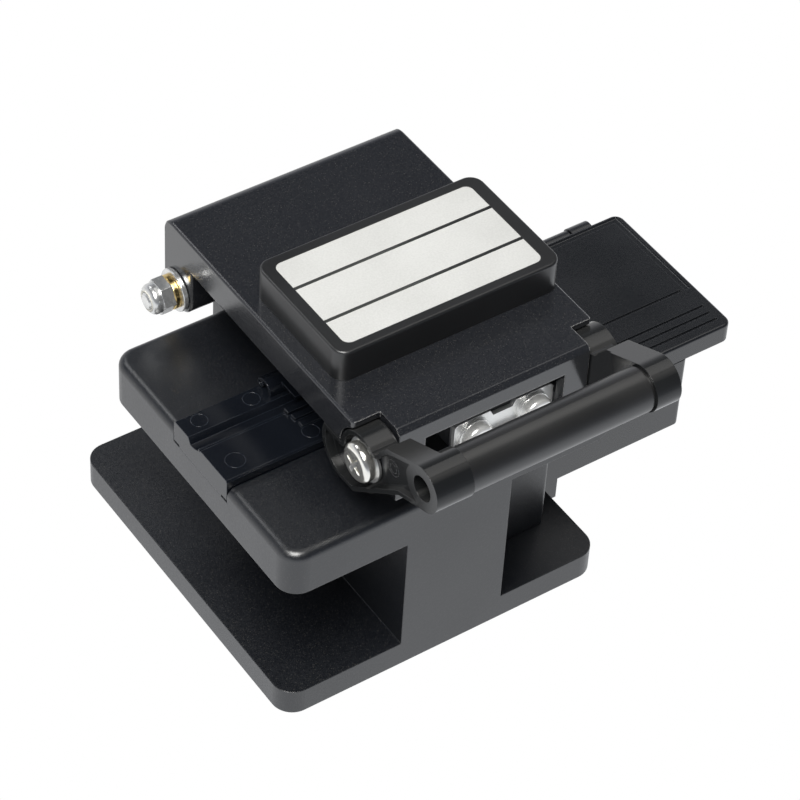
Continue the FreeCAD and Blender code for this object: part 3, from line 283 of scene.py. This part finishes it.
FINISHES = {
    "body_paint": (paint, dict(
        dark=(0.0014, 0.0021, 0.0038), light=(0.0058, 0.0072, 0.0102),
        rough=0.35, grain=7600, grain_height=0.00001, orange_peel=2.6)),
    "lid_paint": (paint, dict(
        dark=(0.0075, 0.0084, 0.0108), light=(0.0200, 0.0210, 0.0240),
        rough=0.16, grain=8200, grain_height=0.000006, edge=0.00035, corner_glint=0.9)),
    "black_plastic": (plastic, dict(
        dark=(0.0052, 0.0060, 0.0074), light=(0.0090, 0.0100, 0.0120),
        rough=0.26, grain=2600, height=0.000001, spec=0.9, edge=0.00012)),
    "arm_plastic": (plastic, dict(
        dark=(0.008, 0.0086, 0.0092), light=(0.012, 0.0126, 0.0130),
        rough=0.16, grain=3600, height=0.000003, edge=0.00012,
        upper_face_colour=(0.029, 0.0290, 0.0286))),
    "cap_plastic": (plastic, dict(
        dark=(0.006, 0.0062, 0.0066), light=(0.010, 0.0104, 0.011),
        rough=0.33, grain=2600, height=0.000002, spec=0.9, edge=0.00025)),
    "adapter_plastic": (plastic, dict(
        dark=(0.003, 0.0040, 0.0062), light=(0.006, 0.0074, 0.0105),
        rough=0.18, grain=2200, height=0.000003, spec=0.6, edge=0.00016, edge_highlight=3.4)),
    "rubber_black": (plastic, dict(
        dark=(0.010, 0.010, 0.010), light=(0.020, 0.020, 0.020),
        rough=0.75, grain=2500, height=0.00002, spec=0.3)),
    "grip_gloss": (plastic, dict(
        dark=(0.007, 0.0070, 0.0070), light=(0.013, 0.0128, 0.0124),
        rough=0.33, grain=4200, height=0.000006, spec=1.0)),
    "print_grey": (plastic, dict(
        dark=(0.030, 0.032, 0.030), light=(0.042, 0.044, 0.042),
        rough=0.55, grain=2600, height=0.000002)),
    "nylon": (plastic, dict(
        dark=(0.55, 0.53, 0.46), light=(0.66, 0.64, 0.57),
        rough=0.40, grain=1500, height=0.000004)),
    "steel": (metal, dict(
        low=(0.62, 0.62, 0.62), high=(0.80, 0.80, 0.79),
        rough=0.28, metallic=0.85, brushed=(1, 1, 12))),
    "chrome_screw": (metal, dict(
        low=(0.86, 0.845, 0.79), high=(0.97, 0.955, 0.90), rough=0.15, metallic=0.93)),
    "zinc": (metal, dict(
        low=(0.60, 0.61, 0.61), high=(0.80, 0.80, 0.79), rough=0.22, metallic=0.82)),
    "white_nickel": (metal, dict(
        low=(0.86, 0.86, 0.84), high=(0.96, 0.96, 0.94), rough=0.20, metallic=0.62)),
    "brass": (metal, dict(
        low=(0.72, 0.50, 0.18), high=(0.92, 0.72, 0.34), rough=0.20)),
    "carbide": (metal, dict(
        low=(0.28, 0.29, 0.31), high=(0.48, 0.49, 0.51), rough=0.30, brushed=(6, 1, 1))),
    "label_silver": (foil, dict(
        dark=(0.575, 0.575, 0.552), light=(0.645, 0.645, 0.622))),
}
MATERIALS = {name: make(name, **values) for name, (make, values) in FINISHES.items()}

# Nodes whose look differs from that of their record slot.
OWN_FINISH = {
    "lever_arm_left": "arm_plastic",
    "lever_arm_right": "arm_plastic",
    "label_cap": "cap_plastic",
    "plate_screws": "white_nickel",
    "spring_washers": "white_nickel",
    "anvil_plate": "white_nickel",
}
slot_of = {s["node"]: s.get("material_slot", s["node"]) for s in frame["record"]["subparts"]}
for name, node in NODES.items():
    node.data.materials.clear()
    node.data.materials.append(MATERIALS[OWN_FINISH.get(name, slot_of[name])])


# ------------------------------------------------------------------ small added pieces
def new_piece(name, mesh, material, body):
    """A small piece of its own that moves with a body."""
    piece = bpy.data.objects.new(name, mesh)
    scene.collection.objects.link(piece)
    mesh.materials.append(MATERIALS[material])
    for polygon in mesh.polygons:
        polygon.use_smooth = True
    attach(piece, body)
    return piece


def ring_mesh(name, centre, normal, radius, width, height, steps=64):
    """A low raised ring of rounded section, standing on a flat face."""
    u = normal.orthogonal().normalized()
    w = normal.cross(u)
    section = [(-width / 2, -height), (-width / 2, 0.35 * height), (-width / 4, 0.9 * height),
               (0, height), (width / 4, 0.9 * height), (width / 2, 0.35 * height),
               (width / 2, -height)]
    bm = bmesh.new()
    loops = []
    for i in range(steps):
        a = 2 * math.pi * i / steps
        out = u * math.cos(a) + w * math.sin(a)
        loops.append([bm.verts.new(centre + out * (radius + r) + normal * h) for r, h in section])
    for i in range(steps):
        here, there = loops[i], loops[(i + 1) % steps]
        for k in range(len(section)):
            n = (k + 1) % len(section)
            bm.faces.new((here[k], there[k], there[n], here[n]))
    bmesh.ops.recalc_face_normals(bm, faces=bm.faces)
    mesh = bpy.data.meshes.new(name)
    bm.to_mesh(mesh)
    bm.free()
    return mesh


def joined(name, meshes):
    """One mesh from several."""
    bm = bmesh.new()
    for m in meshes:
        bm.from_mesh(m)
    mesh = bpy.data.meshes.new(name)
    bm.to_mesh(mesh)
    bm.free()
    return mesh


def bar_mesh(name, low, high, chamfer):
    """A thin printed bar with softened upper edges."""
    bm = bmesh.new()
    bmesh.ops.create_cube(bm, size=1.0)
    size, middle = high - low, (high + low) / 2
    bmesh.ops.scale(bm, vec=size, verts=bm.verts)
    bmesh.ops.translate(bm, vec=middle, verts=bm.verts)
    upper = [e for e in bm.edges if all(v.co.z > middle.z for v in e.verts)]
    bmesh.ops.bevel(bm, geom=upper, offset=chamfer, segments=2, affect="EDGES")
    mesh = bpy.data.meshes.new(name)
    bm.to_mesh(mesh)
    bm.free()
    return mesh


UP, LEFT = Vector((0, 0, 1)), Vector((-1, 0, 0))

# Two plain lines divide the bare label into three fields.
LABEL_LOW, LABEL_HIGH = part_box("label_plate")
LINE_PLACES, LINE_HALF = (20.4, 29.1), mm(0.32)
lines = []
for y in LINE_PLACES:
    low = Vector((LABEL_LOW.x, at(0, y, 0).y - LINE_HALF, LABEL_HIGH.z - mm(0.02)))
    high = Vector((LABEL_HIGH.x, at(0, y, 0).y + LINE_HALF, LABEL_HIGH.z + mm(0.015)))
    lines.append(bar_mesh("line", low, high, mm(0.008)))
new_piece("label_lines", joined("label_lines", lines), "print_grey", "lid")

# Marks that the mould's ejector pins leave on the adapter and on the lever's left arm.
ADAPTER_TOP = 39.2
ADAPTER_PINS = ((3.5, 32.3, 1.4), (13.2, 32.1, 1.45), (3.7, 21.8, 1.65), (17.4, 21.0, 1.45))
marks = [ring_mesh("mark", at(x, y, ADAPTER_TOP), UP, mm(r), mm(0.16), mm(0.028))
         for x, y, r in ADAPTER_PINS]
new_piece("adapter_marks", joined("adapter_marks", marks), "adapter_plastic", "body")

PIVOT_Y, PIVOT_Z = 2.1, 50.7
ARM_FACE_X = 14.8


def lever_point(x, u, v):
    """A point on the lever: u along the arm from its pivot, v across it."""
    return at(x, PIVOT_Y - u * math.cos(RISE) + v * math.sin(RISE),
              PIVOT_Z + u * math.sin(RISE) + v * math.cos(RISE))


marks = [ring_mesh("mark", lever_point(ARM_FACE_X, 8.6, 0.6), LEFT, mm(r), mm(0.14), mm(0.03))
         for r in (1.45, 0.85)]
new_piece("lever_marks", joined("lever_marks", marks), "black_plastic", "lever")

# The lock nut's nylon ring, round the end of the bolt.
NUT_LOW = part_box("hinge_nut")[0]
HINGE_Y, HINGE_Z = 55.9, 44.2
nut_face = Vector((NUT_LOW.x, at(0, HINGE_Y, 0).y, mm(HINGE_Z)))
nylon = ring_mesh("nylon", nut_face, LEFT, mm(1.72), mm(0.36), mm(0.05))
new_piece("nut_nylon_ring", nylon, "nylon", "body")

# The clamp springs are held at the lid's end; each gets a mesh of its own.
for side in ("left", "right"):
    low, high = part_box("clamp_spring_" + side)
    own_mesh(NODES["clamp_spring_" + side])


# ------------------------------------------------------------------ floor and backdrop
def bright_for(graph, reflected, diffuse_colour):
    """Plain white to the camera, and something else in reflections and as a light."""
    path = graph.node("ShaderNodeLightPath").outputs
    unseen = graph.mix(path["Is Glossy Ray"], diffuse_colour, reflected)
    seen = graph.maths("MAXIMUM", path["Is Camera Ray"], path["Is Transmission Ray"])
    return graph.mix(seen, unseen, WHITE)


def empty_graph(owner):
    """The emptied node tree of a material or of the world."""
    owner.use_nodes = True
    owner.node_tree.nodes.clear()
    return Graph(owner.node_tree)


def show(graph, shader, socket, output, colour):
    """Ends a tree: the colour through a light-giving shader to the output."""
    source = graph.node(shader)
    graph.link(colour, source.inputs["Color"])
    graph.link(source.outputs[0], graph.node(output).inputs[socket])


FLOOR_HALF, FLOOR_Z = 1.6, -0.0003
floor_mesh = bpy.data.meshes.new("floor")
corners = [(x * FLOOR_HALF, y * FLOOR_HALF, FLOOR_Z)
           for x, y in ((-1, -1), (1, -1), (1, 1), (-1, 1))]
floor_mesh.from_pydata(corners, [], [(0, 1, 2, 3)])
floor = bpy.data.objects.new("floor", floor_mesh)
scene.collection.objects.link(floor)
floor_mat = bpy.data.materials.new("floor")
graph = empty_graph(floor_mat)

# In reflections the sheet is white beside the object and falls off to the front and rear.
depth = graph.part_of(graph.coord.outputs["Object"], "Y")
sheet = graph.ramp(graph.to_range(depth, 0.0, 1.0, -0.30, 0.30),
                   [(0.0, (0.26, 0.28, 0.32)), (0.16, (0.62, 0.65, 0.70)),
                    (0.30, (0.92, 0.95, 1.0)), (0.42, (0.95, 0.97, 1.0)),
                    (0.56, (0.96, 0.97, 0.99)), (0.68, (1.0, 1.0, 1.0)),
                    (0.80, (0.90, 0.90, 0.90)), (1.0, (0.62, 0.62, 0.63))])
show(graph, "ShaderNodeEmission", "Surface", "ShaderNodeOutputMaterial",
     bright_for(graph, sheet, (0.45, 0.45, 0.46)))
floor_mesh.materials.append(floor_mat)

# In reflections the room is dark overhead and in front, and pale low down behind.
world = bpy.data.worlds.new("studio")
scene.world = world
graph = empty_graph(world)
direction = graph.coord.outputs["Generated"]
height = graph.part_of(direction, "Z")
front = graph.ramp(height, [(0.0, (0.16, 0.17, 0.20)), (0.30, (0.08, 0.09, 0.11)),
                            (0.60, (0.045, 0.05, 0.06)), (1.0, (0.03, 0.033, 0.04))])
rear = graph.ramp(height, [(0.0, (0.72, 0.73, 0.76)), (0.22, (0.62, 0.63, 0.67)),
                           (0.45, (0.22, 0.23, 0.26)), (0.62, (0.045, 0.05, 0.06)),
                           (1.0, (0.03, 0.033, 0.04))])
toward_rear = graph.to_range(graph.part_of(direction, "Y"), 0.0, 1.0, -0.25, 0.35)
sky = graph.mix(toward_rear, front, rear)
show(graph, "ShaderNodeBackground", "Surface", "ShaderNodeOutputWorld",
     bright_for(graph, sky, (0.30, 0.31, 0.33)))


# ------------------------------------------------------------------ lights
TARGET = Vector((0.01, 0.0, 0.03))


def softbox(name, place, width, height, power, colour):
    """A rectangular lamp turned to the object."""
    data = bpy.data.lights.new(name, "AREA")
    data.shape = "RECTANGLE"
    data.size, data.size_y = width, height
    data.energy = power
    data.color = colour
    lamp = bpy.data.objects.new(name, data)
    lamp.location = place
    lamp.rotation_euler = (TARGET - Vector(place)).to_track_quat("-Z", "Y").to_euler()
    scene.collection.objects.link(lamp)


softbox("key", (-0.33, -0.27, 0.93), 0.5, 0.5, 11.8, (1.0, 0.99, 0.965))
softbox("spark", (-0.56, -0.42, 0.70), 0.12, 0.12, 1.2, WHITE)
softbox("over", (0.43, 0.14, 0.90), 0.60, 0.45, 0.9, (1.0, 0.98, 0.95))
softbox("rear_top", (-0.15, 0.70, 0.8), 0.5, 0.25, 1.2, (0.98, 0.99, 1.0))


# ------------------------------------------------------------------ camera
AZIMUTH, ELEVATION, ROLL = (math.radians(a) for a in (-36.651, 44.705, 3.696))
CAMERA_PLACE = (-0.223158, -0.315731, 0.41251)
back_v = Vector((math.sin(AZIMUTH) * math.cos(ELEVATION),
                 -math.cos(AZIMUTH) * math.cos(ELEVATION), math.sin(ELEVATION)))
level = Vector((math.cos(AZIMUTH), math.sin(AZIMUTH), 0))
rise = back_v.cross(level)
right = level * math.cos(ROLL) + rise * math.sin(ROLL)
upward = rise * math.cos(ROLL) - level * math.sin(ROLL)
lens = bpy.data.cameras.new("camera")
lens.sensor_width, lens.lens = 36.0, 147.967
lens.clip_start, lens.clip_end = 0.01, 20
camera = bpy.data.objects.new("camera", lens)
turn = Matrix((right, upward, back_v)).transposed().to_4x4()
camera.matrix_world = Matrix.Translation(CAMERA_PLACE) @ turn
scene.collection.objects.link(camera)
scene.camera = camera
scene.view_settings.view_transform = "Standard"
